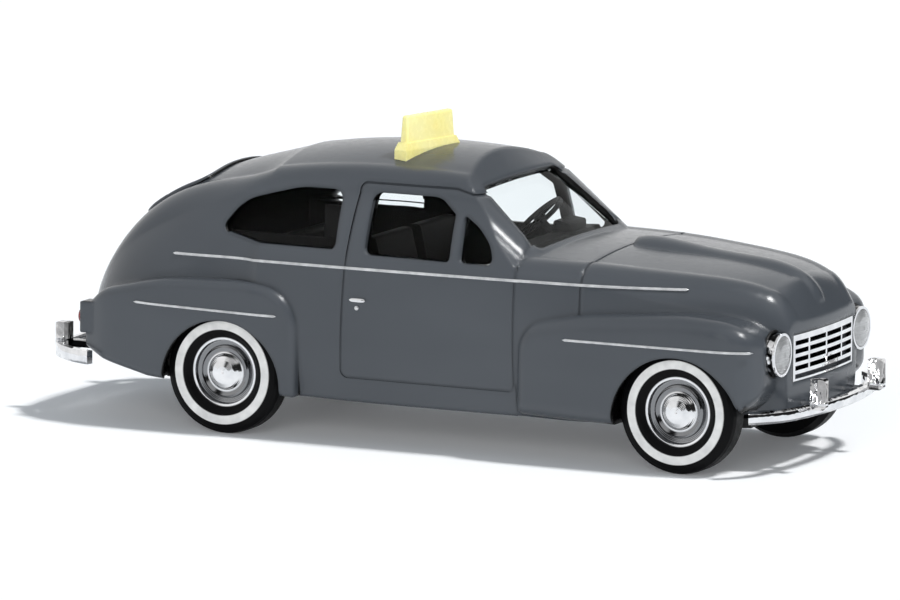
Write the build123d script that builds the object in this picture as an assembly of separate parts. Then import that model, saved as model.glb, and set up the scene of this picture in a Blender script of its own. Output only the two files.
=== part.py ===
from build123d import *
import os
from collections import namedtuple
from math import asin, cos, radians, sin, sqrt, tan

# Scale model taxi cab in millimetres: +X forward, +Y left, +Z up, origin on the
# ground under the middle of its length

# Main sizes of the car
overall_length = 50.6
wheelbase = 29.9
front_axle_x = 17.4
rear_axle_x = front_axle_x - wheelbase
track_outer = 16.92
belt_z = 10.8
wall = 0.6

# Clearances between pieces
fit_gap = 0.03
bearing_gap = 0.05
wheel_gap = 0.4
wheel_side_gap = 0.18
glass_recess = 0.28
glass_thickness = 0.4
groove_width = 0.14
groove_depth = 0.12

# Wheels, with radii counted from the hub outwards
tyre_radius = 3.74
tyre_width = 2.0
wheel_face_y = track_outer / 2
axle_radius = 0.5
axle_seat_depth = 0.9
cap_dome_radius = 1.12
cap_radius = 1.58
rim_radius = 2.08
band_inner_radius = 2.61
band_outer_radius = 3.13
band_height = 0.04
disc_depth = 1.2

# Body sections across the car. Each has its station along X, then the height
# and half width of the sill, the belt, the shoulder and the roof edge, and the
# height of the crown on the centre line
Station = namedtuple(
    "Station", "x sill_z sill_w belt_z belt_w shoulder_z shoulder_w edge_z edge_w crown_z"
)
tail_stations = [
    Station(-23.75, 4.8, 2.7, 5.4, 3.0, 6.0, 2.7, 6.25, 1.7, 6.4),
    Station(-22.95, 4.1, 4.6, 5.8, 4.9, 7.2, 4.3, 8.0, 2.7, 8.3),
    Station(-21.6, 3.6, 6.0, 6.6, 6.3, 9.1, 5.4, 10.1, 3.5, 10.55),
    Station(-19.4, 3.4, 7.2, 8.2, 7.5, 11.1, 6.2, 12.5, 4.2, 13.0),
    Station(-15.75, 3.1, 7.7, 9.8, 8.1, 13.0, 6.8, 14.5, 4.7, 15.1),
    Station(-10.25, 2.8, 7.9, 10.6, 8.35, 14.5, 6.9, 16.05, 5.0, 16.75),
]
cabin_stations = [
    tail_stations[-1],
    Station(-2.75, 2.6, 7.9, belt_z, 8.45, 15.1, 6.7, 16.65, 5.0, 17.4),
    Station(2.85, 2.6, 7.9, belt_z, 8.42, 14.95, 6.6, 16.4, 4.9, 17.15),
    Station(10.25, 2.6, 7.88, belt_z, 8.3, 14.3, 6.5, 15.4, 4.7, 16.0),
]
hood_stations = [
    Station(6.25, 2.6, 7.86, belt_z, 8.31, 11.5, 8.0, 12.05, 6.3, 12.42),
    Station(8.75, 2.6, 7.8, 10.75, 8.25, 11.45, 7.92, 12.0, 6.25, 12.37),
    Station(12.25, 2.6, 7.5, 10.6, 8.05, 11.3, 7.65, 11.9, 5.95, 12.25),
    Station(16.25, 3.0, 6.9, 10.1, 7.45, 11.0, 6.95, 11.65, 5.3, 11.97),
    Station(19.75, 3.4, 6.0, 9.5, 6.5, 10.65, 6.0, 11.3, 4.4, 11.6),
    Station(21.4, 3.6, 5.4, 9.1, 5.85, 10.2, 5.4, 10.85, 3.9, 11.2),
]
nose_stations = [
    hood_stations[-1],
    Station(22.5, 3.6, 5.0, 8.6, 5.35, 9.5, 4.95, 10.1, 3.6, 10.45),
    Station(23.1, 3.6, 4.8, 8.0, 5.05, 8.7, 4.75, 9.15, 3.4, 9.4),
    Station(23.7, 3.6, 4.6, 7.4, 4.8, 7.8, 4.5, 8.1, 3.2, 8.25),
]
side_bulge = 0.043
upper_bulge = 0.04

# Raised rib down the middle of the hood
rib_root = 0.25
Rib = namedtuple("Rib", "x half_width height")
rib_stations = [
    Rib(11.15, 1.35, 0.42),
    Rib(14.5, 1.3, 0.42),
    Rib(18.0, 1.25, 0.34),
    Rib(21.0, 1.1, 0.36),
    Rib(22.2, 0.95, 0.36),
    Rib(23.0, 0.7, 0.2),
]

# Windscreen: a curved sheet that leans back, and its opening
screen_base_x = 7.8
screen_base_z = 12.2
screen_radius = 36.0
screen_corner_y = 5.9
screen_corner_radius = 2.2
screen_corner_turn = 60.0
screen_rake = 51.0
screen_bottom_w = 5.95
screen_top_w = 5.1
screen_height = 5.3
screen_opening_shift = (-2.3, -1.9)
screen_foot_z = 15.0
screen_foot_w = 14.8
screen_foot_h = 7.6

# Outlines of the side windows and their corner radii
Corner = namedtuple("Corner", "x z r")
door_window = [
    Corner(-3.2, 11.55, 0.4), Corner(2.4, 11.5, 0.3), Corner(2.3, 14.25, 0.15), Corner(1.1, 15.15, 1.4),
    Corner(-3.25, 15.15, 0.5),
]
vent_window = [
    Corner(3.05, 11.5, 0.3), Corner(5.3, 11.5, 0.4), Corner(4.9, 12.7, 2.0), Corner(4.0, 13.6, 2.5),
    Corner(2.85, 14.3, 0.15),
]
quarter_window = [
    Corner(-5.25, 15.15, 0.7), Corner(-5.15, 11.7, 0.4), Corner(-10.6, 11.7, 4.0), Corner(-13.1, 12.3, 0.45),
    Corner(-11.6, 14.2, 3.0), Corner(-8.0, 15.15, 5.0),
]
side_windows = [door_window, vent_window, quarter_window]
rear_window_x = -17.6
rear_window_z = 13.5
rear_window_slope = 33.0
rear_window_w = 4.1
rear_window_h = 4.6

# Shut lines of the doors and the hood
door_front_x = 6.85
door_rear_x = -4.75
door_bottom_z = 4.05
door_top = [(door_front_x, 12.6), (5.6, 14.0), (4.3, 15.2), (2.0, 15.75), (-4.2, 15.75)]
hood_line_x = 11.0
boot_front_x = -17.9
boot_mid_z = 8.9
boot_half = 3.9
boot_height = 6.6
boot_corner = 1.2

# Fenders of the right side, with x from the axle: a side outline, and a plan outline
# whose second number is the distance in from the widest point
fender_wall = 0.5
fender_half_width = wheel_face_y + wheel_side_gap + fender_wall
front_fender_side = [
    Corner(-10.45, 2.8, 0.4), Corner(-10.4, 8.35, 2.0), Corner(-6.0, 9.15, 12.0), Corner(0.4, 9.6, 14.0),
    Corner(3.6, 9.35, 4.5), Corner(5.25, 8.2, 1.2), Corner(5.1, 4.8, 2.0), Corner(3.8, 3.7, 1.0),
    Corner(0, 2.6, 0.5),
]
front_fender_plan = [
    Corner(-10.9, 5.1, 0), Corner(-10.9, 0.3, 0), Corner(-6.4, 0, 8.0), Corner(2.9, 0, 4.0),
    Corner(4.6, 0.5, 1.5), Corner(5.3, 2.2, 1.0), Corner(5.3, 5.1, 0),
]
rear_fender_side = [
    Corner(5.0, 2.6, 0.3), Corner(5.1, 8.9, 2.6), Corner(1.6, 9.45, 9.0), Corner(-4.0, 9.25, 14.0),
    Corner(-8.2, 8.2, 3.0), Corner(-9.8, 6.9, 1.2), Corner(-9.8, 4.4, 0.5), Corner(-8.2, 3.85, 1.5),
    Corner(-4.9, 3.2, 0.5),
]
rear_fender_plan = [
    Corner(5.6, 5.1, 0), Corner(5.6, 0.34, 0), Corner(2.3, 0, 5.0), Corner(-4.1, 0, 6.0),
    Corner(-7.9, 0.64, 5.0), Corner(-10.4, 2.14, 0), Corner(-10.4, 5.1, 0),
]
fender_inner_y = 4.5
front_round = 0.95
rear_round = 0.5

# Wheel openings, measured from the axle: shift along X, drop, and extra radius
front_arch = (0.15, 0.74, 0.36)
rear_arch = (0.15, 0.64, 0.16)
well_outer_y = wheel_face_y + wheel_side_gap
well_inner_y = wheel_face_y - tyre_width - wheel_gap

# Lamps: back of the lamp, middle and size
lamp_x = 22.35
lamp_y = 5.75
lamp_z = 7.25
lamp_radius = 1.3
lamp_depth = 0.75
lamp_rim = 0.16
lens_depth = 0.3
pod_x = -22.45
pod_y = 7.3
pod_z = 6.3
pod_w = 1.1
pod_h = 1.9
pod_length = 3.0
tail_lamp_radius = 0.42
tail_lamp_depth = 0.3
tail_lamp_seat = 0.2

# Nose and grille: a bowed face with the grille let into it
nose_x = 23.35
nose_bow = 0.25
nose_half = 4.5
nose_wall = 1.1
grille_bottom_z = 5.45
grille_top_z = 8.2
grille_half = 4.3
grille_depth = 0.45
grille_frame = 0.25
grille_bar = 0.22
grille_rows = 4
grille_row_pitch = 0.5
grille_post = 0.2
grille_posts = (-2.35, 0.0, 2.35)

# Bumpers: blade, overriders and arms, then one row of plan points and heights for
# each end of the car, drawn as if it were the front
bumper_height = 0.8
bumper_depth = 0.45
overrider_w = 0.7
overrider_length = 0.95
arm_w = 0.8
arm_h = 0.4
Bumper = namedtuple(
    "Bumper", "middle knee end mid_z overrider_y overrider_low overrider_top arm_y arm_reach"
)
front_set = Bumper((24.65, 0), (24.15, 5.2), (22.2, 8.6), 3.8, 4.2, 3.9, 5.75, 3.0, 1.3)
rear_set = Bumper((25.2, 0), (24.95, 6.0), (21.5, 8.6), 3.95, 5.2, 3.9, 5.45, 4.9, 2.1)

# Floor pan and the dark inner moulding
chassis_bottom_z = 2.6
chassis_height = 0.6
chassis_rear_x = -22.2
tail_kick_x = -15.6
tail_kick = [(-17.2, 3.25), (chassis_rear_x, 3.6)]
chassis_front_x = 20.8
bearing_length = 3.2
bearing_top_z = 4.9
bearing_side_gap = 0.5
interior_half = well_inner_y - 0.16
bench_gap = 0.1

# Steering wheel and roof sign
steering_x = 2.8
steering_y = 3.3
steering_z = 12.6
steering_radius = 1.65
steering_tilt = 45
sign_x = -2.1
sign_y = -1.95
sign_turn = -13.5
sign_foot_z = 16.6
sign_foot_top_z = 17.4
sign_shoulder_z = 17.85
sign_top_z = 19.45
sign_foot_length = 5.1
sign_foot_width = 0.9
sign_box_length = 4.55
sign_box_width = 0.66
sign_taper = 3
sign_round = 0.16


def bowed(a, b, bulge):
    """Middle of an arc from a to b, off the chord by that share of its length."""
    run, rise = b[0] - a[0], b[1] - a[1]
    return ((a[0] + b[0]) / 2 + bulge * rise, (a[1] + b[1]) / 2 - bulge * run)


def rounded(a, knee, b):
    """Middle of an arc from a to b that rounds off the knee between them."""
    return tuple(0.25 * a[i] + 0.5 * knee[i] + 0.25 * b[i] for i in (0, 1))


def section(s, inset=0.0):
    """One closed section of the body, set in from the outside by inset."""
    sill = (s.sill_w - inset, s.sill_z - 2 * inset)
    belt = (s.belt_w - inset, s.belt_z)
    shoulder = (s.shoulder_w - inset, s.shoulder_z - 0.6 * inset)
    edge = (s.edge_w - 0.6 * inset, s.edge_z - inset)
    crown = (0, s.crown_z - inset)
    knee = (shoulder[0] - 0.18 * (belt[0] - shoulder[0]), edge[1] - 0.3 * (crown[1] - edge[1]))
    arcs = [
        (sill, bowed(sill, belt, side_bulge), belt),
        (belt, bowed(belt, shoulder, upper_bulge), shoulder),
        (shoulder, rounded(shoulder, knee, edge), edge),
    ]
    other_side = [tuple((-w, z) for w, z in reversed(arc)) for arc in reversed(arcs)]
    roof = (edge, crown, (-edge[0], edge[1]))
    edges = [ThreePointArc(*arc) for arc in [*arcs, roof, *other_side]]
    floor = Line((-sill[0], sill[1]), sill)
    return Plane.YZ.offset(s.x) * make_face([*edges, floor])


def body_loft(stations, inset=0.0, rear_inset=0.0):
    """Smooth body through the stations, set in from the sides and the rear end."""
    first = stations[0]._replace(x=stations[0].x + rear_inset)
    return loft([section(s, inset) for s in [first, *stations[1:]]])


def soft_face(corners):
    """Face inside an outline whose corners are rounded by their own radii."""
    edges, ends = [], []
    for i, b in enumerate(corners):
        a, c = corners[i - 1], corners[(i + 1) % len(corners)]
        point = Vector(b[0], b[1])
        to_a = Vector(a[0] - b[0], a[1] - b[1]).normalized()
        to_c = Vector(c[0] - b[0], c[1] - b[1]).normalized()
        half_turn = radians(180 - to_a.get_angle(to_c)) / 2
        reach = b.r * tan(half_turn)
        top = point + (to_a + to_c).normalized() * (b.r / cos(half_turn) - b.r)
        ends.append((point + to_a * reach, top, point + to_c * reach))
    for i, (start, top, end) in enumerate(ends):
        edges.append(Line(ends[i - 1][2], start))
        if corners[i].r:
            edges.append(ThreePointArc(start, top, end))
    return make_face(edges)


def prism_y(points, y_from, y_to, radius=0.0):
    """Prism across the car with its side outline given as (x, z) points."""
    face = make_face(Polyline(*points, close=True))
    face = fillet(face.vertices(), radius) if radius else face
    side = Plane(origin=(0, y_to, 0), x_dir=(1, 0, 0), z_dir=(0, -1, 0))
    return extrude(side * face, y_to - y_from)


def drum(x, z, radius, y_from, y_to):
    """Cylinder across the car."""
    return Pos(x, (y_from + y_to) / 2, z) * Rot(90, 0, 0) * Cylinder(radius, y_to - y_from)


def both_sides(solid):
    """The solid and its mirror image on the other side of the car."""
    return [solid, mirror(solid, about=Plane.XZ)]


def screen_space(inset=0.0):
    """Everything behind the windscreen's surface, which turns back at its corners."""
    slope = tan(radians(screen_rake))
    middle_x = screen_base_x + screen_base_z * slope - inset * sqrt(1 + slope**2)
    drop = screen_radius - sqrt(screen_radius**2 - screen_corner_y**2)
    first = asin(screen_corner_y / screen_radius)
    last = radians(screen_corner_turn)
    knee = (middle_x - drop, screen_corner_y)

    def corner(turn):
        r = screen_corner_radius
        return (knee[0] + r * (cos(turn) - cos(first)), knee[1] + r * (sin(turn) - sin(first)))

    def other_side(point):
        return (point[0], -point[1])

    bend, tip = corner((first + last) / 2), corner(last)
    far = (tip[0] - 10 / tan(last), tip[1] + 10)
    rear = (-overall_length, far[1])
    edges = [
        ThreePointArc(other_side(knee), (middle_x, 0), knee),
        ThreePointArc(knee, bend, tip),
        ThreePointArc(other_side(tip), other_side(bend), other_side(knee)),
        *Polyline(tip, far, rear, other_side(rear), other_side(far), other_side(tip)).edges(),
    ]
    return extrude(make_face(edges), 20 * sqrt(1 + slope**2), dir=(-slope, 0, 1))


def cabin_space(inset=0.0, skip=0):
    """Cabin volume from the tail to the windscreen and the doors' front edges.

    The last stations of the tail are too small for a deep inset and may be skipped."""
    tail = body_loft(tail_stations[skip:], inset, rear_inset=inset)
    doors = Pos(door_front_x - 20, 0, 10) * Box(40, 30, 20)
    screen_foot = Pos(door_front_x, 0, screen_foot_z) * Box(8, screen_foot_w, screen_foot_h)
    front = body_loft(cabin_stations, inset) & screen_space(inset)
    return tail + (front & (doors + screen_foot))


def nose_plan(inset=0.0):
    """Plan line of the bowed nose, set back by inset."""
    half = 1.3 * nose_half
    bow = nose_bow * (half / nose_half) ** 2
    x = nose_x - inset
    return ThreePointArc((x - bow, -half), (x, 0), (x - bow, half))


def nose_prism(front_inset, back_inset, half, z_from, z_to):
    """Slice of the nose between two of its plan lines, half as wide as given."""
    front, back = nose_plan(front_inset), nose_plan(back_inset)
    sides = [Line(back @ i, front @ i) for i in (0, 1)]
    face = make_face([*front.edges(), *back.edges(), *sides])
    bowed_slab = extrude(Plane.XY.offset(z_from) * face, z_to - z_from)
    return bowed_slab & Pos(nose_x, 0, (z_from + z_to) / 2) * Box(10, 2 * half, z_to - z_from)


def hood_space(inset=0.0):
    """Volume under the hood from inside the cabin to the bowed nose."""
    solid = body_loft(hood_stations, inset) + body_loft(nose_stations, inset)
    return solid - nose_prism(-4, nose_wall if inset else 0, 6, 0, 12)


def crown_at(x):
    """Height of the hood's crown at a station along X."""
    stations = hood_stations + nose_stations[1:]
    a, b = next((a, b) for a, b in zip(stations, stations[1:]) if a.x <= x <= b.x)
    return a.crown_z + (b.crown_z - a.crown_z) * (x - a.x) / (b.x - a.x)


def hood_rib():
    """Raised rib along the middle of the hood."""
    faces = []
    for rib in rib_stations:
        crown = crown_at(rib.x)
        left, right = (-rib.half_width, crown - rib_root), (rib.half_width, crown - rib_root)
        top = ThreePointArc(left, (0, crown + rib.height), right)
        faces.append(Plane.YZ.offset(rib.x) * make_face([*top.edges(), *Line(right, left).edges()]))
    return loft(faces)


def fender(axle_x, side, plan, edge_round):
    """One right fender: its side outline cut to its plan, with rounded edges."""
    outline = Pos(axle_x, 0) * soft_face(side)
    across = Plane(origin=(0, -fender_inner_y, 0), x_dir=(1, 0, 0), z_dir=(0, -1, 0))
    body = extrude(across * outline, fender_half_width + 1 - fender_inner_y, dir=(0, -1, 0))
    body &= extrude(Pos(axle_x, -fender_half_width) * soft_face(plan), 12, dir=(0, 0, 1))
    rim = body.edges().filter_by(lambda e: e.center().Y < -fender_inner_y - 2 and e.center().Z > 4.9)
    rim = rim.filter_by(Axis.Z, reverse=True).filter_by(Axis.Y, reverse=True)
    return fillet(rim, edge_round)


def wheel_cutters():
    """Wheel openings in the fenders and the round wells behind them."""
    cutters = []
    for axle_x, (shift, drop, extra) in ((front_axle_x, front_arch), (rear_axle_x, rear_arch)):
        outside_y = -fender_half_width - 1
        arch = drum(axle_x + shift, tyre_radius - drop, tyre_radius + extra, outside_y, -well_inner_y)
        well = drum(axle_x, tyre_radius, tyre_radius + wheel_gap, -well_outer_y, -well_inner_y)
        cutters += both_sides(arch) + both_sides(well)
    return cutters


def window_prisms(gap=0.0):
    """Straight cutters through all the windows, made smaller by the gap."""
    cutters = []
    for corners in side_windows:
        face = soft_face(corners)
        face = offset(face, -gap) if gap else face
        side = Plane(origin=(0, -4.5, 0), x_dir=(1, 0, 0), z_dir=(0, -1, 0))
        cutters += both_sides(extrude(side * face, 6, dir=(0, -1, 0)))
    lean = radians(screen_rake)
    low_edge = (screen_base_x + screen_opening_shift[0], 0, screen_base_z + screen_opening_shift[1])
    screen = Plane(origin=low_edge, x_dir=(0, 1, 0), z_dir=(cos(lean), 0, sin(lean)))
    back = radians(rear_window_slope)
    rear_middle = (rear_window_x, 0, rear_window_z)
    rear = Plane(origin=rear_middle, x_dir=(0, -1, 0), z_dir=(-sin(back), 0, cos(back))).offset(-1.5)
    outlines = [
        (screen, screen_bottom_w, screen_top_w, 0, screen_height, 4),
        (rear, rear_window_w, 0.9 * rear_window_w, -rear_window_h / 2, rear_window_h / 2, 4),
    ]
    for plane, low_w, high_w, low, high, depth in outlines:
        face = make_face(Polyline((-low_w, low), (low_w, low), (high_w, high), (-high_w, high), close=True))
        face = fillet(face.vertices(), 0.6)
        face = offset(face, -gap) if gap else face
        cutters.append(extrude(plane * face, depth))
    return cutters


def line_prism(points, radius):
    """Thin frame across the right side, for cutting a shut line."""
    outside = prism_y(points, -12, -5, radius)
    face = make_face(Polyline(*points, close=True))
    face = offset(fillet(face.vertices(), radius), -groove_width)
    side = Plane(origin=(0, -5, 0), x_dir=(1, 0, 0), z_dir=(0, -1, 0))
    return outside - extrude(side * face, 7)


def shut_lines():
    """Shallow grooves round the doors, across the hood and round the boot lid."""
    door = [(door_rear_x, door_bottom_z), (door_front_x, door_bottom_z), *door_top]
    skin = cabin_space() - cabin_space(groove_depth)
    doors = line_prism(door, 0.5) & skin
    hood_skin = body_loft(hood_stations) - body_loft(hood_stations, groove_depth)
    hood = Pos(hood_line_x, 0, 12) * Box(groove_width, 20, 6) & hood_skin
    lid = Pos(0, boot_mid_z) * RectangleRounded(2 * boot_half, boot_height, boot_corner)
    lid_line = extrude(Plane.YZ.offset(boot_front_x) * (lid - offset(lid, -groove_width)), -10) & skin
    return both_sides(doors) + [hood, lid_line]


def lamp_socket():
    """Round seat for the right headlamp in the front of the fender."""
    return Pos(lamp_x + 2, -lamp_y, lamp_z) * Rot(0, 90, 0) * Cylinder(lamp_radius + fit_gap, 4)


def lamp_pod():
    """Right pod at the end of the rear fender, which carries the tail lamp."""
    pod = Pos(pod_x + pod_length / 2, -pod_y, pod_z) * Box(pod_length, pod_w, pod_h)
    return fillet(pod.faces().sort_by(Axis.X)[0].edges(), 0.2)


def body_shell():
    """Hollow moulded body with windows, wheel openings, shut lines and pockets."""
    front = fender(front_axle_x, front_fender_side, front_fender_plan, front_round)
    rear = fender(rear_axle_x, rear_fender_side, rear_fender_plan, rear_round)
    shell = cabin_space() + hood_space() + hood_rib()
    for piece in (front, rear, lamp_pod()):
        for solid in both_sides(piece):
            shell += solid
    shell -= cabin_space(wall) + hood_space(wall)
    pocket_z = (grille_bottom_z - fit_gap, grille_top_z + fit_gap)
    pocket = nose_prism(-2, grille_depth, grille_half + fit_gap, *pocket_z)
    mouth = nose_prism(0, nose_wall + 0.5, grille_half - 0.5, grille_bottom_z + 0.4, grille_top_z - 0.4)
    lamp_seats = both_sides(lamp_socket()) + both_sides(tail_lamp(fit_gap))
    for cutter in [*wheel_cutters(), *window_prisms(), *shut_lines(), *lamp_seats, pocket, mouth]:
        shell -= cutter
    return shell


def window_insert():
    """Clear moulding that lines the cabin sides and fills the window openings."""
    outside = cabin_space(wall + fit_gap)
    hollow = cabin_space(wall + fit_gap + glass_thickness, skip=1)
    liner = outside - hollow
    band = Pos(-3.5, 0, belt_z + 2.7) * Box(33, 20, 5.0)
    glass = cabin_space(glass_recess)
    insert = liner & band
    for cutter in window_prisms(fit_gap):
        insert += (glass & cutter) - hollow
    return insert


def ring_profile(points):
    """Solid of revolution about the axle from (radius, y) points."""
    return revolve(make_face(Polyline(*points, close=True)), Axis.Y)


def tyre():
    """Right tyre about its own axle, face towards -Y, with a raised white band."""
    face = -wheel_face_y
    back = face + tyre_width
    bead = band_inner_radius - 0.5
    points = [
        (bead, face + 0.35), (band_inner_radius - 0.2, face + 0.12), (band_inner_radius, face + band_height),
        (band_inner_radius, face), (band_outer_radius, face), (band_outer_radius, face + band_height),
        (tyre_radius - 0.3, face + 0.15), (tyre_radius - 0.08, face + 0.3), (tyre_radius, face + 0.55),
        (tyre_radius, back - 0.45), (tyre_radius - 0.3, back), (bead, back),
    ]
    return ring_profile(points)


def wheel_disc():
    """Right plated disc with rim lip and domed hub cap, bored for the axle."""
    face = -wheel_face_y
    back = face + 0.35 + disc_depth
    bead = band_inner_radius - 0.5
    points = [
        (axle_radius, back), (axle_radius, face + axle_seat_depth), (0, face + axle_seat_depth),
        (0, face + 0.1), (0.35, face + 0.12), (0.7, face + 0.2), (0.95, face + 0.33),
        (cap_dome_radius, face + 0.5), (cap_dome_radius + 0.12, face + 0.52),
        (cap_radius - 0.12, face + 0.44), (cap_radius, face + 0.5), (cap_radius + 0.05, face + 0.66),
        (rim_radius - 0.2, face + 0.62), (rim_radius - 0.12, face + 0.38), (bead, face + 0.36), (bead, back),
    ]
    return ring_profile(points)


def axle():
    """Steel axle that is pressed into both wheels."""
    half = wheel_face_y - axle_seat_depth
    return drum(0, 0, axle_radius, -half, half)


def grille():
    """Plated grille: bowed frame with rows of bars and upright posts."""
    panel = nose_prism(0, grille_depth, grille_half, grille_bottom_z, grille_top_z)
    row_z = grille_top_z - grille_frame - 0.1
    slot_half = grille_half - grille_frame
    height = grille_row_pitch - grille_bar
    for i in range(grille_rows + 1):
        middle_z = row_z - i * grille_row_pitch - height / 2
        slot = Pos(nose_x, 0, middle_z) * Box(6, 2 * slot_half, height)
        for y in grille_posts if i < grille_rows else ():
            slot -= Pos(nose_x, y, middle_z) * Box(6, grille_post, height)
        panel -= slot
    return panel


def headlamp_bezel():
    """Right plated headlamp rim with its shallow bowl."""
    bowl = Pos(0, 0, lamp_depth / 2) * Cylinder(lamp_radius - lamp_rim, 2 * lens_depth)
    ring = Cylinder(lamp_radius, lamp_depth) - bowl
    return Pos(lamp_x + lamp_depth / 2, -lamp_y, lamp_z) * Rot(0, 90, 0) * ring


def headlamp_lens():
    """Right clear headlamp lens with a domed face."""
    radius = lamp_radius - lamp_rim - fit_gap
    base = lamp_x + lamp_depth - lens_depth
    dome = [(0.6 * radius, lens_depth + 0.12), (0, lens_depth + 0.18)]
    points = [(0, 0), (radius, 0), (radius, lens_depth), *dome]
    lens = revolve(Plane.XZ * make_face(Polyline(*points, close=True)), Axis.Z)
    return Pos(base, -lamp_y, lamp_z) * Rot(0, 90, 0) * lens


def tail_lamp(gap=0.0):
    """Right red tail lamp lens in its pod, made larger by the gap."""
    lens = Cylinder(tail_lamp_radius + gap, tail_lamp_depth)
    return Pos(pod_x + tail_lamp_seat - tail_lamp_depth / 2, -pod_y, pod_z) * Rot(0, 90, 0) * lens


def bumper_edge(b, depth):
    """Plan line of a bumper, moved back into the car by depth."""
    middle_x, knee_x = b.middle[0] - depth, b.knee[0] - depth
    knee_y, end_x, end_y = b.knee[1] - 0.4 * depth, b.end[0] - 0.3 * depth, b.end[1] - depth
    bend = ((knee_x + end_x) / 2 + 0.3, (knee_y + end_y) / 2 + 0.3)
    middle = ThreePointArc((knee_x, -knee_y), (middle_x, 0), (knee_x, knee_y))
    left = ThreePointArc((knee_x, knee_y), bend, (end_x, end_y))
    right = ThreePointArc((end_x, -end_y), (bend[0], -bend[1]), (knee_x, -knee_y))
    return [right, middle, left]


def bumper(b):
    """Plated bumper at the front: curved blade, two overriders and two arms."""
    outer, inner = bumper_edge(b, 0), bumper_edge(b, bumper_depth)
    ends = [Line(outer[0] @ 0, inner[0] @ 0), Line(outer[2] @ 1, inner[2] @ 1)]
    face = make_face([*outer, *inner, *ends])
    solid = Pos(0, 0, b.mid_z - bumper_height / 2) * extrude(face, bumper_height)
    solid = chamfer(solid.edges().filter_by(Plane.XY).sort_by(Axis.X)[-2:], 0.15)
    post_x = overall_length / 2 - overrider_length / 2
    post_z = (b.overrider_low + b.overrider_top) / 2
    arm_x = (b.middle[0] + b.knee[0] - bumper_depth - b.arm_reach) / 2
    for side in (-1, 1):
        post = Box(overrider_length, overrider_w, b.overrider_top - b.overrider_low)
        post = fillet(post.faces().sort_by(Axis.X)[-1].edges(), 0.25)
        solid += Pos(post_x, side * b.overrider_y, post_z) * post
        arm_z = b.mid_z + (bumper_height - arm_h) / 2
        solid += Pos(arm_x, side * b.arm_y, arm_z) * Box(b.arm_reach, arm_w, arm_h)
    return solid


def front_bumper():
    """Front bumper, its arms ending on the nose of the body."""
    return bumper(front_set) - hood_space()


def rear_bumper():
    """Rear bumper, its arms ending on the tail of the body."""
    return mirror(bumper(rear_set), about=Plane.YZ) - cabin_space()


def inner_space(gap):
    """Hollow of the body, set in by the wall and a gap."""
    return cabin_space(wall + gap) + hood_space(wall + gap)


def chassis():
    """Black floor pan with its bearing blocks, cut out round the wheels."""
    underside = [(chassis_front_x, chassis_bottom_z), (tail_kick_x, chassis_bottom_z), *tail_kick]
    top = [(x, z + chassis_height) for x, z in reversed(underside)]
    floor = prism_y(underside + top, -15, 15) & inner_space(fit_gap)
    bearing_height = bearing_top_z - chassis_bottom_z
    bearing_w = 2 * (well_inner_y - bearing_side_gap)
    bearing = Box(bearing_length, bearing_w, bearing_height)
    bearing = Pos(0, 0, chassis_bottom_z + bearing_height / 2) * bearing
    room = 2 * (tyre_radius + wheel_gap)
    for x in (rear_axle_x, front_axle_x):
        for cutter in both_sides(Pos(x, -well_inner_y - 5, tyre_radius) * Box(room, 10, room)):
            floor -= cutter
        floor += Pos(x, 0, 0) * bearing
        floor -= drum(x, tyre_radius, axle_radius + bearing_gap, -12, 12)
    return floor


def interior():
    """Dark inner moulding: floor, seats and dashboard."""
    floor_z = chassis_bottom_z + chassis_height
    w = interior_half
    floor = Pos(-2.5, 0, floor_z + 0.4) * Box(15.6, 2 * w, 0.8)
    bench_x = rear_axle_x + bearing_length / 2 + bench_gap
    pieces = [Pos(bench_x + 1.7, 0, 5.6) * Box(3.4, 2 * w, 3.6)]
    back = [(bench_x, 6.9), (bench_x + 1.2, 6.9), (bench_x + 0.2, 11.4), (bench_x - 1.0, 11.4)]
    pieces.append(prism_y(back, -w, w, 0.3))
    seat_back = [(-3.5, 6.4), (-2.3, 6.4), (-3.7, 12.2), (-4.6, 12.2)]
    dashboard = [(4.4, 3.4), (5.2, 3.4), (5.9, 11.6), (5.6, 12.0), (4.3, 12.0)]
    for y in (-0.52 * w, 0.52 * w):
        half = 0.42 * w
        pieces.append(Pos(-1.4, y, 5.4) * Box(4.2, 2 * half, 3.2))
        pieces.append(prism_y(seat_back, y - half, y + half, 0.3))
    pieces.append(prism_y(dashboard, -w + 0.3, w - 0.3))
    cowl = [(4.2, 11.2), (5.4, 11.2), (5.3, 12.5), (4.2, 12.7)]
    pieces.append(prism_y(cowl, steering_y - 1.1, steering_y + 1.1, 0.2))
    for piece in pieces:
        floor += piece
    return floor


def steering_wheel():
    """Steering wheel rim, spokes and column on the left side."""
    thickness = 0.26
    rim = Cylinder(steering_radius, thickness) - Cylinder(steering_radius - thickness, thickness)
    hub = Cylinder(0.35, 0.4)
    spokes = Box(2 * steering_radius - thickness, 0.24, 0.16)
    column_length = 1.5
    column = Pos(0, 0, -column_length / 2) * Cylinder(0.2, column_length)
    wheel = rim + hub + spokes + column
    return Pos(steering_x, steering_y, steering_z) * Rot(0, -steering_tilt, 0) * wheel


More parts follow.
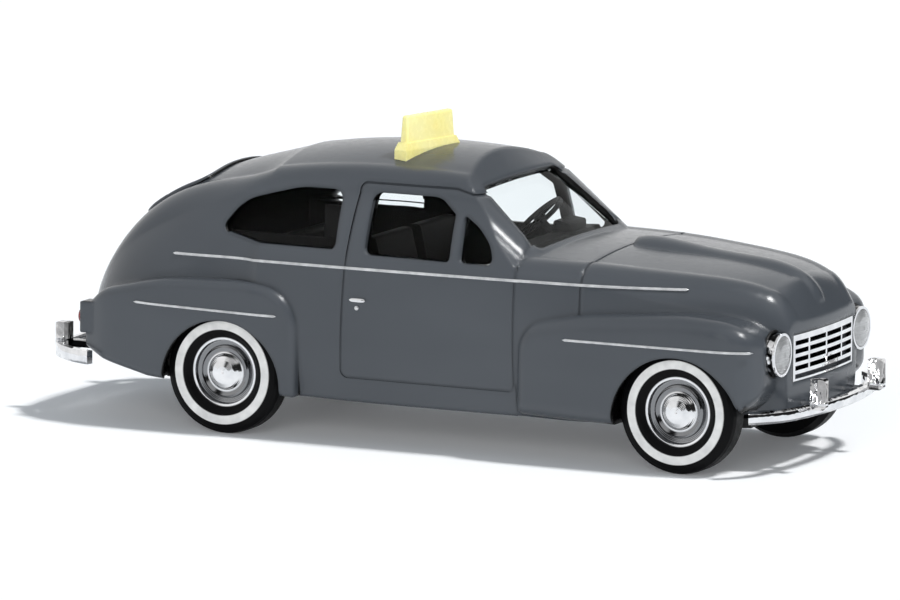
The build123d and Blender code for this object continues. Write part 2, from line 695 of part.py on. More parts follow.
def roof_sign():
    """Blank roof sign: a tapered box on a flared foot that follows the roof."""
    base = Plane.XY.offset(sign_foot_z)
    foot_outline = Rectangle(sign_foot_width, sign_foot_length)
    foot = extrude(base * foot_outline, sign_foot_top_z - sign_foot_z)
    shoulder = Rectangle(sign_box_width + 0.06, sign_box_length + 0.06)
    top = Plane.XY.offset(sign_foot_top_z)
    foot += loft([top * foot_outline, Plane.XY.offset(sign_shoulder_z) * shoulder])
    box_outline = top * Rectangle(sign_box_width, sign_box_length)
    box = extrude(box_outline, sign_top_z - sign_foot_top_z, taper=sign_taper)
    rims = box.edges().filter_by(lambda e: e.center().Z > sign_foot_top_z + 0.1)
    box = fillet(rims, sign_round)
    sign = Pos(sign_x, sign_y, 0) * Rot(0, 0, sign_turn) * (foot + box)
    return sign - body_loft(cabin_stations) - body_loft(tail_stations)


def write_parts():
    """Build every piece and write one file for each."""
    pieces = {
        "body_shell": body_shell(),
        "window_insert": window_insert(),
        "chassis": chassis(),
        "interior": interior(),
        "steering_wheel": steering_wheel(),
        "grille": grille(),
        "front_bumper": front_bumper(),
        "rear_bumper": rear_bumper(),
        "roof_sign": roof_sign(),
    }
    paired = {"headlamp_bezel": headlamp_bezel(), "headlamp_lens": headlamp_lens(), "tail_lamp": tail_lamp()}
    for name, solid in paired.items():
        pieces[name + "_right"], pieces[name + "_left"] = both_sides(solid)
    for end, x in (("front", front_axle_x), ("rear", rear_axle_x)):
        place = Pos(x, 0, tyre_radius)
        pieces[end + "_axle"] = place * axle()
        for name, solid in (("tyre", tyre()), ("wheel", wheel_disc())):
            right, left = both_sides(solid)
            pieces[f"{name}_{end}_right"] = place * right
            pieces[f"{name}_{end}_left"] = place * left
    os.makedirs("parts", exist_ok=True)
    for name, solid in pieces.items():
        export_step(solid, f"parts/{name}.step")


write_parts()
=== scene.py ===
import math

import bpy
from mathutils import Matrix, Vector
from mathutils.bvhtree import BVHTree


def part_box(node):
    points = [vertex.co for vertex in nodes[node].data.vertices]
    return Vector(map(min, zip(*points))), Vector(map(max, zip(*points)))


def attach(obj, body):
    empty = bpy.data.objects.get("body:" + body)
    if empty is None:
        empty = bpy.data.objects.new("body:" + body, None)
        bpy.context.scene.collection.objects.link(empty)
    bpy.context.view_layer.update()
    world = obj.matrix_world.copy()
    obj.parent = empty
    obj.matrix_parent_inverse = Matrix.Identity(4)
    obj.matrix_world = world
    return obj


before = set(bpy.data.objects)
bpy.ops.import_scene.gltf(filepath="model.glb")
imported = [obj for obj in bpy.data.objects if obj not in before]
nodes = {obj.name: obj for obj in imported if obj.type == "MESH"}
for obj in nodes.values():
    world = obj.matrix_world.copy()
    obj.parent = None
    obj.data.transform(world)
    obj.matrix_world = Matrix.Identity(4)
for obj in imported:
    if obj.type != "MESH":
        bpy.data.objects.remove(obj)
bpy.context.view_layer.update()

MM = 0.001
SIDES = {"right": -1, "left": 1}


def node_middle(name):
    """Middle of a CAD node's box, in metres."""
    low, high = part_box(name)
    return (low + high) / 2


FRONT_AXLE = node_middle("front_axle")
REAR_AXLE = node_middle("rear_axle")


def srgb(r, g, b):
    """Colour from 0-255 screen numbers to the linear numbers of a shader."""
    def channel(v):
        v /= 255
        return v / 12.92 if v <= 0.04045 else ((v + 0.055) / 1.055) ** 2.4
    return (channel(r), channel(g), channel(b), 1.0)


# Calls for shader nodes

INPUT_NAMES = {
    "color": "Base Color", "metallic": "Metallic", "roughness": "Roughness", "ior": "IOR",
    "specular": "Specular IOR Level", "transmission": "Transmission Weight", "coat": "Coat Weight",
    "coat_roughness": "Coat Roughness", "subsurface": "Subsurface Weight",
    "subsurface_scale": "Subsurface Scale",
}

# Nearly all of a noise lies between these
NOISE_LOW = 0.3
NOISE_HIGH = 0.7


class Nodes:
    """Short calls for the nodes that this scene uses in a material or the world."""

    def __init__(self, owner):
        owner.use_nodes = True
        self.tree = owner.node_tree

    def node(self, kind, **settings):
        made = self.tree.nodes.new("ShaderNode" + kind)
        for key, value in settings.items():
            setattr(made, key, value)
        return made

    def link(self, source, target):
        self.tree.links.new(source, target)

    def span(self, value, low, high, to_low=0.0, to_high=1.0, smooth=False):
        """Value mapped from one span to another, and held at its ends."""
        made = self.node("MapRange", clamp=True)
        made.interpolation_type = "SMOOTHSTEP" if smooth else "LINEAR"
        for key, number in (("From Min", low), ("From Max", high), ("To Min", to_low), ("To Max", to_high)):
            made.inputs[key].default_value = number
        self.link(value, made.inputs["Value"])
        return made.outputs["Result"]

    def math(self, operation, a, b=None):
        made = self.node("Math", operation=operation)
        for slot, value in enumerate((a, b)):
            if value is None:
                continue
            if isinstance(value, (int, float)):
                made.inputs[slot].default_value = value
            else:
                self.link(value, made.inputs[slot])
        return made.outputs["Value"]

    def product(self, *values):
        """Product of several outputs or numbers."""
        result = values[0]
        for value in values[1:]:
            result = self.math("MULTIPLY", result, value)
        return result

    def size(self, value):
        """Value without its sign."""
        return self.math("ABSOLUTE", value)

    def length(self, a, b):
        """Length of the line whose parts are a and b."""
        return self.math("SQRT", self.math("ADD", self.product(a, a), self.product(b, b)))

    def past(self, value, limit, soft=0.1):
        """One where a length is past a limit in millimetres, with a soft edge on the limit."""
        return self.span(value, (limit - soft / 2) * MM, (limit + soft / 2) * MM)

    def before(self, value, limit, soft=0.1):
        """One where a length is short of a limit in millimetres, with a soft edge on the limit."""
        return self.span(value, (limit - soft / 2) * MM, (limit + soft / 2) * MM, 1.0, 0.0)

    def between(self, value, limits, soft=0.1):
        """One where a length is between two limits in millimetres."""
        return self.product(self.past(value, limits[0], soft), self.before(value, limits[1], soft))

    def dot(self, a, b):
        """Dot product of a direction and another one, or a fixed vector."""
        made = self.node("VectorMath", operation="DOT_PRODUCT")
        self.link(a, made.inputs[0])
        if isinstance(b, Vector):
            made.inputs[1].default_value = b
        else:
            self.link(b, made.inputs[1])
        return made.outputs["Value"]

    def mix(self, factor, a, b):
        """Colour between a and b, each a colour or an output."""
        made = self.node("Mix", data_type="RGBA")
        self.link(factor, made.inputs["Factor"])
        for key, value in (("A", a), ("B", b)):
            socket = [s for s in made.inputs if s.name == key and s.type == "RGBA"][0]
            if isinstance(value, tuple):
                socket.default_value = value
            else:
                self.link(value, socket)
        return [s for s in made.outputs if s.type == "RGBA"][0]

    def split(self, vector):
        made = self.node("SeparateXYZ")
        self.link(vector, made.inputs["Vector"])
        return made.outputs["X"], made.outputs["Y"], made.outputs["Z"]


class Shader(Nodes):
    """One Principled material."""

    def __init__(self, name, **inputs):
        self.material = bpy.data.materials.new(name)
        super().__init__(self.material)
        self.bsdf = self.tree.nodes["Principled BSDF"]
        self.set(**inputs)

    def set(self, **inputs):
        for key, value in inputs.items():
            self.bsdf.inputs[INPUT_NAMES[key]].default_value = value

    def place(self, scale=(1.0, 1.0, 1.0)):
        """Object coordinates, which are the shared frame's, times scale."""
        coordinates = self.node("TexCoord")
        mapping = self.node("Mapping")
        mapping.inputs["Scale"].default_value = scale
        self.link(coordinates.outputs["Object"], mapping.inputs["Vector"])
        return mapping.outputs["Vector"]

    def noise(self, size_mm, detail=3.0, roughness=0.5, stretch=(1, 1, 1)):
        """Noise with features of about this size."""
        scale = 1 / (size_mm * MM)
        made = self.node("TexNoise")
        made.inputs["Scale"].default_value = 1.0
        made.inputs["Detail"].default_value = detail
        made.inputs["Roughness"].default_value = roughness
        self.link(self.place(tuple(scale * s for s in stretch)), made.inputs["Vector"])
        return made.outputs["Fac"]

    def ridges(self, value, pitch_mm):
        """Wave between -1 and 1 along a length."""
        return self.math("SINE", self.math("MULTIPLY", value, 2 * math.pi / (pitch_mm * MM)))

    def position(self):
        """Outputs x, y and z of the point in the shared frame, in metres."""
        return self.split(self.place())

    def normal(self):
        return self.node("NewGeometry").outputs["Normal"]

    def from_axle(self, axle):
        """Distance of the point from a wheel axle, and its distance from the middle plane."""
        x, y, z = self.position()
        return self.length(self.math("SUBTRACT", x, axle.x), self.math("SUBTRACT", z, axle.z)), self.size(y)

    def tones(self, noise, low, high):
        """Colour that wanders between two tones with a noise."""
        return self.mix(self.span(noise, NOISE_LOW, NOISE_HIGH), low, high)

    def color_from(self, output):
        self.link(output, self.bsdf.inputs["Base Color"])

    def roughness_from(self, output):
        self.link(output, self.bsdf.inputs["Roughness"])

    def polish(self, noise, low, high, top=NOISE_HIGH):
        """Roughness that wanders between two values with a noise."""
        self.roughness_from(self.span(noise, NOISE_LOW, top, low, high))

    def bump(self, height, distance_mm, strength=1.0, normal=None):
        made = self.node("Bump")
        if normal:
            self.link(normal, made.inputs["Normal"])
        made.inputs["Distance"].default_value = distance_mm * MM
        made.inputs["Strength"].default_value = strength
        self.link(height, made.inputs["Height"])
        self.link(made.outputs["Normal"], self.bsdf.inputs["Normal"])


# Materials, with the places where they change, in millimetres

BODY_GREY = srgb(67, 71, 76)
BODY_LIGHT = srgb(73, 77, 82)
BODY_EDGE = 0.45
# Black for the bumper arms, and for painted shade and painted dark reflections on other parts
BLACK_AND_SHADE = srgb(11, 11, 12)
# The body's painted shade: black on inward faces within CABIN_HALF of the middle plane, and on wheel-well
# walls within WELL_RADIUS of an axle
WELL_RADIUS = 4.55
CABIN_MIDDLE = (-3.0, 0.0, 8.0)
CABIN_HALF = 8.25

# The side panes, whose rims get painted shade, lie behind the first and outside the second
PANE_FRONT_X = 4.65
PANE_INNER_Y = 6.05

LAMP_MIDDLE = (22.4, 5.75, 7.25)
LAMP_WALL_RADIUS = 1.275
LAMP_RIM_X = 22.975

BUMPERS = {
    "front": {"middle_z": 3.8, "post_y": 4.2, "arms_x": (19.975, 23.225)},
    "rear": {"middle_z": 3.95, "post_y": 5.2, "arms_x": (-24.625, -20.975)},
}
BUMPER_BOW = 0.5
POST_HALF = 0.5
ARM_OUTER_Y = 5.55

WHITE_BAND = (2.61, 3.13)
TYRE_FACE_Y = 8.37
DISC_DISH = (1.2, 1.9)
DISC_GROOVE = 2.085
DISC_FACE_Y = 7.1


def inside_shade_mask(s):
    """One on the faces that look inwards, and on the walls of the wheel wells, where black is painted as
    shade.
    """
    outward = s.node("VectorMath", operation="SUBTRACT")
    s.link(s.place(), outward.inputs[0])
    outward.inputs[1].default_value = Vector(CABIN_MIDDLE) * MM
    inward = s.span(s.dot(s.normal(), outward.outputs["Vector"]), -0.3 * MM, 0.0, 1.0, 0.0)
    _, y, _ = s.position()
    mask = s.product(s.before(s.size(y), CABIN_HALF), inward)
    _, across, _ = s.split(s.normal())
    wall = s.span(s.size(across), 0.4, 0.6, 1.0, 0.0)
    for axle in (FRONT_AXLE, REAR_AXLE):
        radius, _ = s.from_axle(axle)
        mask = s.math("MAXIMUM", mask, s.product(wall, s.before(radius, WELL_RADIUS)))
    return mask


def body_plastic():
    """Glossy dark grey moulded plastic with faint flow marks, with painted shade, black, on its inside and
    in its wheel wells.
    """
    s = Shader("body_plastic", specular=0.34)
    flow = s.noise(6.0, 2.0, stretch=(0.35, 1, 1))
    grey = s.mix(s.span(flow, 0.35, 0.65), BODY_GREY, BODY_LIGHT)
    # Painted shade: the inside of the shell and the wheel wells are made black
    s.color_from(s.mix(inside_shade_mask(s), grey, BLACK_AND_SHADE))
    s.polish(s.noise(0.35, 4.0, 0.6), 0.17, 0.26)
    edges = s.node("Bevel", samples=6)
    edges.inputs["Radius"].default_value = BODY_EDGE * MM
    s.bump(s.noise(1.6, 3.0), 0.012, 0.35, edges.outputs["Normal"])
    return s.material


def plating(s, roughness=0.05):
    """Bright vacuum plating with a cloudy tone and uneven polish."""
    s.set(metallic=1.0)
    s.polish(s.noise(0.3, 4.0), roughness, roughness + 0.06, top=0.75)
    return s.tones(s.noise(0.9, 3.0), srgb(212, 213, 215), srgb(236, 236, 237))


def small_chrome():
    """Plated small parts with faint waves."""
    s = Shader("chrome_plating")
    s.color_from(plating(s))
    s.bump(s.noise(0.6, 2.0), 0.02)
    return s.material


def lamp_chrome():
    """Plated headlamp drum with painted dark reflections, black blotches, on its outer wall."""
    s = Shader("lamp_chrome")
    x, y, z = s.position()
    across = s.math("SUBTRACT", s.size(y), LAMP_MIDDLE[1] * MM)
    upright = s.math("SUBTRACT", z, LAMP_MIDDLE[2] * MM)
    wall = s.past(s.length(across, upright), LAMP_WALL_RADIUS, 0.03)
    behind = s.before(x, LAMP_RIM_X, 0.05)
    # Painted reflection: black blotches on the drum's outer wall stand for the dark it mirrors
    painted_reflection = s.product(wall, behind, s.span(s.noise(0.5, 1.0), 0.4, 0.5))
    s.color_from(s.mix(painted_reflection, plating(s), BLACK_AND_SHADE))
    s.bump(s.noise(0.6, 2.0), 0.1)
    return s.material


def bumper_chrome(name, middle_z, post_y, arms_x):
    """Plated bumper on black arms, its face rounded from its lower to its upper edge."""
    s = Shader(name)
    x, y, z = s.position()
    arm = s.product(s.between(x, arms_x, 0.05), s.before(s.size(y), ARM_OUTER_Y))
    s.color_from(s.mix(arm, plating(s), BLACK_AND_SHADE))
    height = s.math("DIVIDE", s.math("SUBTRACT", z, middle_z * MM), MM)
    rounded = s.product(height, height, -0.5 / BUMPER_BOW)
    from_post = s.size(s.math("SUBTRACT", s.size(y), post_y * MM))
    post = s.product(s.before(from_post, POST_HALF, 0.2), s.span(s.size(height), 0.38, 0.5))
    waves = s.product(s.noise(0.9, 2.0), 0.1)
    lumps = s.product(s.noise(0.45, 1.0), post, 0.45)
    s.bump(s.math("ADD", s.math("ADD", rounded, waves), lumps), 1.0)
    return s.material


def tyre_rubber(name, axle):
    """Black tyre with a chalky white band by its radius on the outer face."""
    s = Shader(name, specular=0.1)
    radius, across = s.from_axle(axle)
    band = s.product(s.between(radius, WHITE_BAND, 0.04), s.past(across, TYRE_FACE_Y, 0.06))
    grain = s.noise(0.25, 4.0, 0.6)
    black = s.tones(grain, srgb(4, 4, 5), srgb(11, 11, 12))
    white = s.tones(s.noise(0.7, 3.0), srgb(204, 204, 203), srgb(226, 226, 224))
    s.color_from(s.mix(band, black, white))
    s.polish(grain, 0.42, 0.6)
    s.bump(grain, 0.012, 0.5)
    return s.material


def wheel_plating(name, axle):
    """Plated wheel disc: bright rings, a grey ring on its dish that is a painted dark reflection, and dark
    in the groove at its rim.
    """
    s = Shader(name)
    radius, across = s.from_axle(axle)
    groove = s.product(s.past(radius, DISC_GROOVE, 0.07), s.past(across, DISC_FACE_Y, 0.2))
    # Painted reflection: the ring on the dish is made grey
    disc = s.mix(s.between(radius, DISC_DISH), plating(s, 0.06), srgb(128, 129, 131))
    s.color_from(s.mix(groove, disc, srgb(20, 20, 21)))
    s.bump(s.ridges(radius, 0.09), 0.004, 0.25)
    return s.material


def clear_plastic():
    """Clear moulded window plastic with slight waves, with painted shade, black, on the rims of the side
    panes.
    """
    s = Shader("window_plastic", ior=1.1, specular=0.25)
    x, y, _ = s.position()
    _, across, _ = s.split(s.normal())
    edge = s.span(s.size(across), 0.5, 0.7, 1.0, 0.0)
    # Painted shade: the rims of the side panes are made black and opaque
    rim = s.product(edge, s.before(x, PANE_FRONT_X), s.past(s.size(y), PANE_INNER_Y))
    tint = s.tones(s.noise(7.0, 1.0), (0.93, 0.95, 0.95, 1.0), (0.916, 0.936, 0.936, 1.0))
    s.color_from(s.mix(rim, tint, BLACK_AND_SHADE))
    s.link(s.math("SUBTRACT", 1.0, rim), s.bsdf.inputs["Transmission Weight"])
    s.polish(s.noise(1.5, 3.0), 0.0, 0.03)
    s.bump(s.noise(4.0, 1.0), 0.02, 0.12)
    return s.material


def dark_moulding(name, low, high, roughness, specular=0.3):
    """Matt moulded plastic with a fine spark-eroded grain."""
    s = Shader(name, specular=specular)
    grain = s.noise(0.12, 5.0, 0.65)
    s.color_from(s.tones(s.noise(2.5, 3.0), low, high))
    s.polish(grain, roughness, roughness + 0.16)
    s.bump(grain, 0.02, 0.5)
    return s.material


def sign_plastic():
    """Pale yellow lamp plastic, a little translucent."""
    s = Shader("sign_plastic", specular=0.4, subsurface=0.25, subsurface_scale=0.4 * MM)
    s.bsdf.inputs["Subsurface Radius"].default_value = (1.0, 0.8, 0.3)
    s.color_from(s.tones(s.noise(1.8, 3.0), srgb(250, 236, 150), srgb(253, 243, 174)))
    s.polish(s.noise(0.3, 4.0), 0.2, 0.32)
    s.bump(s.noise(0.6, 3.0), 0.012, 0.35)
    return s.material


def lamp_glass():
    """Headlamp glass over a silvered bowl, with fine upright flutes."""
    s = Shader("lamp_glass", metallic=0.25, coat=1.0, coat_roughness=0.05)
    _, y, z = s.position()
    s.color_from(s.tones(s.noise(0.8, 2.0), srgb(140, 141, 142), srgb(164, 165, 165)))
    s.roughness_from(s.span(s.ridges(z, 0.6), -1.0, 1.0, 0.22, 0.34))
    s.bump(s.ridges(y, 0.16), 0.02, 0.5)
    return s.material


def tail_glass():
    """Red lens with a fine grain."""
    s = Shader("tail_glass", transmission=0.35, coat=1.0, coat_roughness=0.05)
    s.color_from(s.tones(s.noise(0.4, 2.0), srgb(120, 12, 12), srgb(160, 20, 18)))
    s.polish(s.noise(0.2, 3.0), 0.12, 0.24)
    s.bump(s.noise(0.15, 2.0), 0.02, 0.5)
    return s.material


def steel():
    """Bright drawn axle steel with fine lengthwise scratches."""
    s = Shader("axle_steel", metallic=1.0)
    scratch = s.noise(0.12, 4.0, 0.6, stretch=(1, 0.05, 1))
    s.color_from(s.tones(scratch, srgb(150, 150, 152), srgb(186, 186, 188)))
    s.polish(scratch, 0.2, 0.38)
    s.bump(scratch, 0.006, 0.5)
    return s.material


def silver_print():
    """Thin silver paint printed on the trim, a little uneven."""
    s = Shader("silver_print", metallic=0.55)
    s.color_from(s.tones(s.noise(0.5, 4.0), srgb(178, 179, 181), srgb(214, 215, 216)))
    s.polish(s.noise(0.2, 4.0), 0.3, 0.45)
    s.bump(s.noise(0.15, 3.0), 0.008, 0.5)
    return s.material


def dress_nodes():
    """Give every CAD node its material."""
    materials = {
        "body_shell": body_plastic(), "window_insert": clear_plastic(), "roof_sign": sign_plastic(),
        "interior": dark_moulding("interior_moulding", srgb(9, 9, 9), srgb(16, 15, 15), 0.5, 0.1),
        "chassis": dark_moulding("chassis_moulding", srgb(13, 13, 14), srgb(22, 22, 23), 0.42),
        "steering_wheel": dark_moulding("wheel_moulding", srgb(5, 5, 5), srgb(10, 10, 10), 0.3, 0.1),
        "grille": small_chrome(),
    }
    bezel, lens, tail, axle_steel = lamp_chrome(), lamp_glass(), tail_glass(), steel()
    for side in SIDES:
        materials[f"headlamp_bezel_{side}"] = bezel
        materials[f"headlamp_lens_{side}"] = lens
        materials[f"tail_lamp_{side}"] = tail
    for end, axle in (("front", FRONT_AXLE), ("rear", REAR_AXLE)):
        materials[f"{end}_axle"] = axle_steel
        materials[f"{end}_bumper"] = bumper_chrome(f"{end}_bumper_chrome", **BUMPERS[end])
        dark_material, disc = tyre_rubber(f"tyre_rubber_{end}", axle), wheel_plating(f"wheel_plating_{end}", axle)
        for side in SIDES:
            materials[f"tyre_{end}_{side}"] = dark_material
            materials[f"wheel_{end}_{side}"] = disc
    for name, material in materials.items():
        data = nodes[name].data
        data.materials.clear()
        data.materials.append(material)


def material_of(name):
    return nodes[name].data.materials[0]


dress_nodes()


# Shapes

shell_tree = BVHTree.FromPolygons(
    [v.co.copy() for v in nodes["body_shell"].data.vertices],
    [tuple(p.vertices) for p in nodes["body_shell"].data.polygons],
)


def mesh_object(name, points, faces, material, smooth=True):
    """New piece of the cab's body."""
    data = bpy.data.meshes.new(name)
    data.from_pydata([tuple(p) for p in points], [], faces)
    data.validate()
    if smooth:
        data.shade_smooth()
    made = bpy.data.objects.new(name, data)
    bpy.context.scene.collection.objects.link(made)
    data.materials.append(material)
    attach(made, "cab_body")
    return made


def swept(name, rings, material, closed=False):
    """Piece through rings with as many points each, closed on itself or capped at its ends."""
    total, count = len(rings), len(rings[0])
    faces = []
    for i in range(total if closed else total - 1):
        n = (i + 1) % total
        for j in range(count):
            k = (j + 1) % count
            faces.append((i * count + j, i * count + k, n * count + k, n * count + j))
    if not closed:
        faces.append(tuple(reversed(range(count))))
        faces.append(tuple(range((total - 1) * count, total * count)))
    return mesh_object(name, [point for ring in rings for point in ring], faces, material)


def turned_piece(name, middle, axis, profile, material, steps, closed=False):
    """Piece turned about an axis through a point, from (radius, height) pairs in millimetres."""
    axis = axis.normalized()
    across = axis.orthogonal().normalized()
    other = axis.cross(across)
    turns = [2 * math.pi * i / steps for i in range(steps)]
    ways = [across * math.cos(turn) + other * math.sin(turn) for turn in turns]
    rings = [[middle + way * (r * MM) + axis * (h * MM) for way in ways] for r, h in profile]
    return swept(name, rings, material, closed)


def block(name, low, high, material, edge=0.08):
    """Box between two corners in millimetres with rounded edges."""
    low, high = Vector(low) * MM, Vector(high) * MM
    points = [(x, y, z) for x in (low.x, high.x) for y in (low.y, high.y) for z in (low.z, high.z)]
    faces = [(0, 1, 3, 2), (4, 6, 7, 5), (0, 4, 5, 1), (2, 3, 7, 6), (0, 2, 6, 4), (1, 5, 7, 3)]
    made = mesh_object(name, points, faces, material, smooth=False)
    rounding = made.modifiers.new("rounding", "BEVEL")
    rounding.width = edge * MM
    rounding.segments = 3
    return made


# Pieces that lie on the body's skin. Rays start this far out, in millimetres
SIDE_START = 14
REAR_START = 8


def skin_hit(start, way):
    """Point and outward normal where a ray meets the body's skin."""
    point, normal, _, _ = shell_tree.ray_cast(start, way)
    return point, -normal if normal.dot(way) > 0 else normal


def skin(x, z, side):
    """Point and outward normal on the body's side at x and z in millimetres."""
    return skin_hit(Vector((x, side * SIDE_START, z)) * MM, Vector((0, -side, 0)))


def skin_ring(point, normal, across, section, width, proud):
    """Section set on the skin, from pairs of shares of the width across and the height above it."""
    return [point + across * (a * width * MM) + normal * (h * proud * MM) for a, h in section]


STRIP_SECTION = [(-0.5, -1.0), (-0.5, 0.45), (-0.28, 1.0), (0.28, 1.0), (0.5, 0.45), (0.5, -1.0)]
STRIP_STEPS = 6
STRIP_MIN_STEPS = 24
STRIP_TIP = 0.15
GROOVE_REACH = 0.3


def bridged_skin(rear, front, side, samples):
    """Skin points and normals along a line, taken straight over the grooves of the shut lines."""
    (x0, z0), (x1, z1) = rear, front
    spots = []
    for i in range(samples + 1):
        t = i / samples
        spots.append(skin(x0 + (x1 - x0) * t, z0 + (z1 - z0) * t, side))
    reach = max(1, round(GROOVE_REACH * samples / abs(x1 - x0)))
    smooth = []
    for i in range(samples + 1):
        near = spots[max(0, i - reach):i + reach + 1]
        point = spots[i][0].copy()
        point.y = side * max(p.y * side for p, _ in near)
        wide = spots[max(0, i - 2 * reach):i + 2 * reach + 1]
        smooth.append((point, sum((n for _, n in wide), Vector()).normalized()))
    return smooth


def trim_strip(name, rear, front, side, width, proud, material):
    """Raised strip on the body's side between two (x, z) ends, with rounded tips."""
    length = abs(front[0] - rear[0])
    samples = max(STRIP_MIN_STEPS, round(length * STRIP_STEPS))
    rings = []
    for i, (point, normal) in enumerate(bridged_skin(rear, front, side, samples)):
        t = i / samples
        reach = min(1.0, min(t, 1 - t) * length / width)
        tip = STRIP_TIP + (1 - STRIP_TIP) * math.sqrt(1 - (1 - reach) ** 2)
        across = (Vector((0, 0, 1)) - normal * normal.z).normalized()
        rings.append(skin_ring(point, normal, across, STRIP_SECTION[::side], width * tip, proud))
    return swept(name, rings, material)


# Silver trim lines and door handles: name, rear end, front end, width, height
TRIM_LINES = [
    ("belt_trim", (-16.1, 10.66), (17.45, 10.86), 0.17, 0.045),
    ("rear_fender_trim", (-18.2, 7.69), (-8.65, 7.52), 0.15, 0.045),
    ("front_fender_trim", (10.3, 7.63), (22.35, 7.68), 0.15, 0.045),
    ("door_handle", (-3.92, 8.87), (-2.88, 8.87), 0.3, 0.2),
]
LOCK_PLACE = (-3.49, 8.39)
LOCK_PROFILE = [(0.14, -0.05), (0.14, 0.05), (0.1, 0.09), (0.04, 0.1)]
# Profile of the black rings that are painted shade round the headlamps
BEZEL_SHADE_PROFILE = [(1.3, 0.0), (1.44, 0.0), (1.47, 0.06), (1.44, 0.14), (1.3, 0.17)]


def add_trims():
    silver = silver_print()
    for side_name, side in SIDES.items():
        for name, rear, front, width, proud in TRIM_LINES:
            material = material_of("grille") if name == "door_handle" else silver
            piece = trim_strip(f"{name}_{side_name}", rear, front, side, width, proud, material)
        point, normal = skin(*LOCK_PLACE, side)
        lock = turned_piece(f"door_lock_{side_name}", point, normal, LOCK_PROFILE, silver, 16)


def add_bezel_shade_rings():
    """Dark rings where the headlamp bezels meet the fenders, painted shade for the shadow gap there."""
    # Painted shade: these black rings stand for the shadow in the gap round each lamp
    dark_material = dark_moulding("painted_bezel_shade", srgb(10, 10, 11), srgb(18, 18, 19), 0.4)
    forward = Vector((1, 0, 0))
    x, y, z = LAMP_MIDDLE
    for side_name, side in SIDES.items():
        middle = Vector((x, side * y, z)) * MM
        name = f"bezel_shade_ring_{side_name}"
        ring = turned_piece(name, middle, forward, BEZEL_SHADE_PROFILE, dark_material, 48, closed=True)


# Rear window: middle, slope in degrees and half sizes of its moulded frame
REAR_GLASS_X = -17.6
REAR_GLASS_Z = 13.5
REAR_GLASS_SLOPE = 33.0
REAR_FRAME_HALF = (2.62, 4.45)
FRAME_SECTION = [(-0.5, -0.2), (-0.5, 0.5), (-0.25, 1.0), (0.25, 1.0), (0.5, 0.5), (0.5, -0.2)]
FRAME_WIDTH = 0.34
FRAME_PROUD = 0.2
FRAME_STEPS = 96
FRAME_SQUARENESS = 5


def add_rear_frame():
    """Moulded frame that follows the tail's skin round the rear window."""
    lean = math.radians(REAR_GLASS_SLOPE)
    down = Vector((-math.cos(lean), 0.0, -math.sin(lean)))
    out = Vector((-math.sin(lean), 0.0, math.cos(lean)))
    middle = Vector((REAR_GLASS_X, 0.0, REAR_GLASS_Z)) * MM
    rim = []
    for i in range(FRAME_STEPS):
        turn = 2 * math.pi * i / FRAME_STEPS
        c, n = math.cos(turn), math.sin(turn)
        spread = (abs(c) ** FRAME_SQUARENESS + abs(n) ** FRAME_SQUARENESS) ** (-1 / FRAME_SQUARENESS)
        start = middle + down * (REAR_FRAME_HALF[0] * spread * c * MM) + out * (REAR_START * MM)
        start.y = REAR_FRAME_HALF[1] * spread * n * MM
        rim.append(skin_hit(start, -out))
    rings = []
    for i, (point, normal) in enumerate(rim):
        along = (rim[(i + 1) % FRAME_STEPS][0] - rim[i - 1][0]).normalized()
        across = along.cross(normal).normalized()
        rings.append(skin_ring(point, normal, across, FRAME_SECTION, FRAME_WIDTH, FRAME_PROUD))
    swept("rear_window_frame", rings, material_of("body_shell"), closed=True)


# Dark panels and pillar trims in the rear of the cabin: low and high corner, on the left side
SIDE_BLOCKS = {
    "panel": ((-14.2, 6.75, 9.6), (-4.5, 7.05, 12.2)),
    "pillar": ((-6.45, 6.75, 12.1), (-4.5, 7.0, 14.2)),
}


def add_side_panels():
    for side_name, side in SIDES.items():
        for name, (low, high) in SIDE_BLOCKS.items():
            y_low, y_high = sorted((side * low[1], side * high[1]))
            ends = (low[0], y_low, low[2]), (high[0], y_high, high[2])
            block(f"side_{name}_{side_name}", *ends, material_of("interior"))


add_trims()
add_bezel_shade_rings()
add_side_panels()
add_rear_frame()


# Camera at the photograph's place

CAMERA_YAW = 25.512
CAMERA_PITCH = 9.109
CAMERA_ROLL = 0.556
CAMERA_AIM = Vector((-1.424, 0.0, 7.833)) * MM
CAMERA_DISTANCE = 798.4 * MM
CAMERA_LENS = 531.4


def add_camera():
    yaw, pitch, roll = (math.radians(v) for v in (CAMERA_YAW, CAMERA_PITCH, CAMERA_ROLL))
    forward = Vector((-math.sin(yaw) * math.cos(pitch), math.cos(yaw) * math.cos(pitch), -math.sin(pitch)))
    level = Vector((math.cos(yaw), math.sin(yaw), 0.0))
    up = level.cross(forward)
    right = level * math.cos(roll) + up * math.sin(roll)
    upward = up * math.cos(roll) - level * math.sin(roll)
    data = bpy.data.cameras.new("photo_camera")
    data.lens = CAMERA_LENS
    data.sensor_width = 36.0
    data.clip_start, data.clip_end = 0.01, 20.0
    camera = bpy.data.objects.new("photo_camera", data)
    bpy.context.scene.collection.objects.link(camera)
    matrix = camera.matrix_world.copy()
    for row in range(3):
        matrix[row][0], matrix[row][1], matrix[row][2] = right[row], upward[row], -forward[row]
        matrix[row][3] = (CAMERA_AIM - forward * CAMERA_DISTANCE)[row]
    camera.matrix_world = matrix
    bpy.context.scene.camera = camera


# Light, floor and background

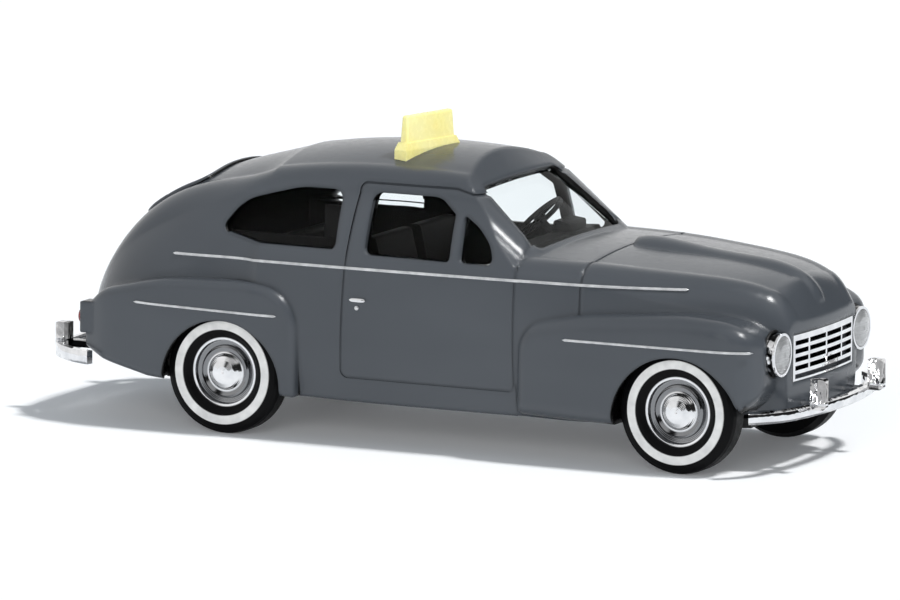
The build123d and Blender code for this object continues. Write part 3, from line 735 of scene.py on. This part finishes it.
WHITE = (1.0, 1.0, 1.0, 1.0)
SKY_LEVEL = 0.2
SKY_TINT = (0.84, 0.97, 1.1, 1.0)
SUNS = [
    # name, strength, angle of its disc, direction in which it shines
    ("key_light", 2.7, 7.0, (-0.57, -0.06, -1.0)),
    ("fill_light", 2.3, 50.0, (-0.25, 0.95, -0.12)),
]
FLOOR_HALF = 3.0
FLOOR_COLOR = srgb(246, 247, 248)
FLOOR_GLOW = 0.1
GLOW_COLOR = srgb(250, 252, 255)

# Room that gloss sees: where its dark side begins and ends, its softbox and its dimmer top
DARK_LEVEL = 0.02
DARK_EDGE = (-0.25, -0.1)
DARK_TURN = 0.2
HORIZON = 0.02
DARK_TOP = (0.5, 0.7)
SOFTBOX_WAY = (0.02, -0.93, 0.3)
SOFTBOX_EDGE = (0.975, 0.985)
ROOM_TOP = (0.6, 0.9)
ROOM_TOP_LEVEL = 0.6


def room_level(w, way):
    """Brightness of a white room with a dark side towards the front and a softbox in it."""
    x, y, z = w.split(way)
    low = w.span(z, -HORIZON, HORIZON, smooth=True)
    high = w.span(z, *DARK_TOP, 1.0, 0.0, smooth=True)
    off_box = w.span(w.dot(way, Vector(SOFTBOX_WAY).normalized()), *SOFTBOX_EDGE, 1.0, 0.0, smooth=True)
    aside = w.span(w.math("SUBTRACT", x, w.math("MULTIPLY", y, DARK_TURN)), *DARK_EDGE, smooth=True)
    dark = w.product(low, high, aside, off_box)
    return w.product(w.span(dark, 0.0, 1.0, 1.0, DARK_LEVEL), w.span(z, *ROOM_TOP, 1.0, ROOM_TOP_LEVEL))


def add_world():
    """Plain soft sky for the light, white for the camera and through glass, a room for gloss."""
    world = bpy.data.worlds.new("studio")
    bpy.context.scene.world = world
    w = Nodes(world)
    path = w.node("LightPath")
    room = room_level(w, w.node("TexCoord").outputs["Generated"])
    clear = w.math("MAXIMUM", path.outputs["Is Camera Ray"], path.outputs["Is Transmission Ray"])
    glossy = path.outputs["Is Glossy Ray"]
    diffuse = w.math("SUBTRACT", 1.0, w.math("MAXIMUM", clear, glossy))
    strength = w.math("ADD", w.product(glossy, room), w.product(diffuse, SKY_LEVEL))
    background = w.tree.nodes["Background"]
    w.link(w.math("MAXIMUM", strength, clear), background.inputs["Strength"])
    w.link(w.mix(diffuse, WHITE, SKY_TINT), background.inputs["Color"])


def add_suns():
    for name, strength, angle, way in SUNS:
        data = bpy.data.lights.new(name, "SUN")
        data.energy = strength
        data.angle = math.radians(angle)
        sun = bpy.data.objects.new(name, data)
        sun.rotation_mode = "QUATERNION"
        sun.rotation_quaternion = Vector(way).to_track_quat("-Z", "Y")
        sun.visible_glossy = name == "key_light"
        bpy.context.scene.collection.objects.link(sun)


def add_floor():
    """Plain pale floor, with a glow for the camera that lifts it to the white background."""
    size = FLOOR_HALF
    data = bpy.data.meshes.new("floor")
    corners = [(-size, -size, 0), (size, -size, 0), (size, size, 0), (-size, size, 0)]
    data.from_pydata(corners, [], [(0, 1, 2, 3)])
    floor = bpy.data.objects.new("floor", data)
    bpy.context.scene.collection.objects.link(floor)
    s = Shader("floor_paper", roughness=0.7, specular=0.1, color=FLOOR_COLOR)
    path = s.node("LightPath")
    seen = s.math("MAXIMUM", path.outputs["Is Camera Ray"], path.outputs["Is Glossy Ray"])
    seen = s.math("MAXIMUM", seen, path.outputs["Is Transmission Ray"])
    s.bsdf.inputs["Emission Color"].default_value = GLOW_COLOR
    s.link(s.product(seen, FLOOR_GLOW), s.bsdf.inputs["Emission Strength"])
    data.materials.append(s.material)


add_camera()
add_world()
add_suns()
add_floor()

bpy.context.scene.view_settings.view_transform = "Standard"
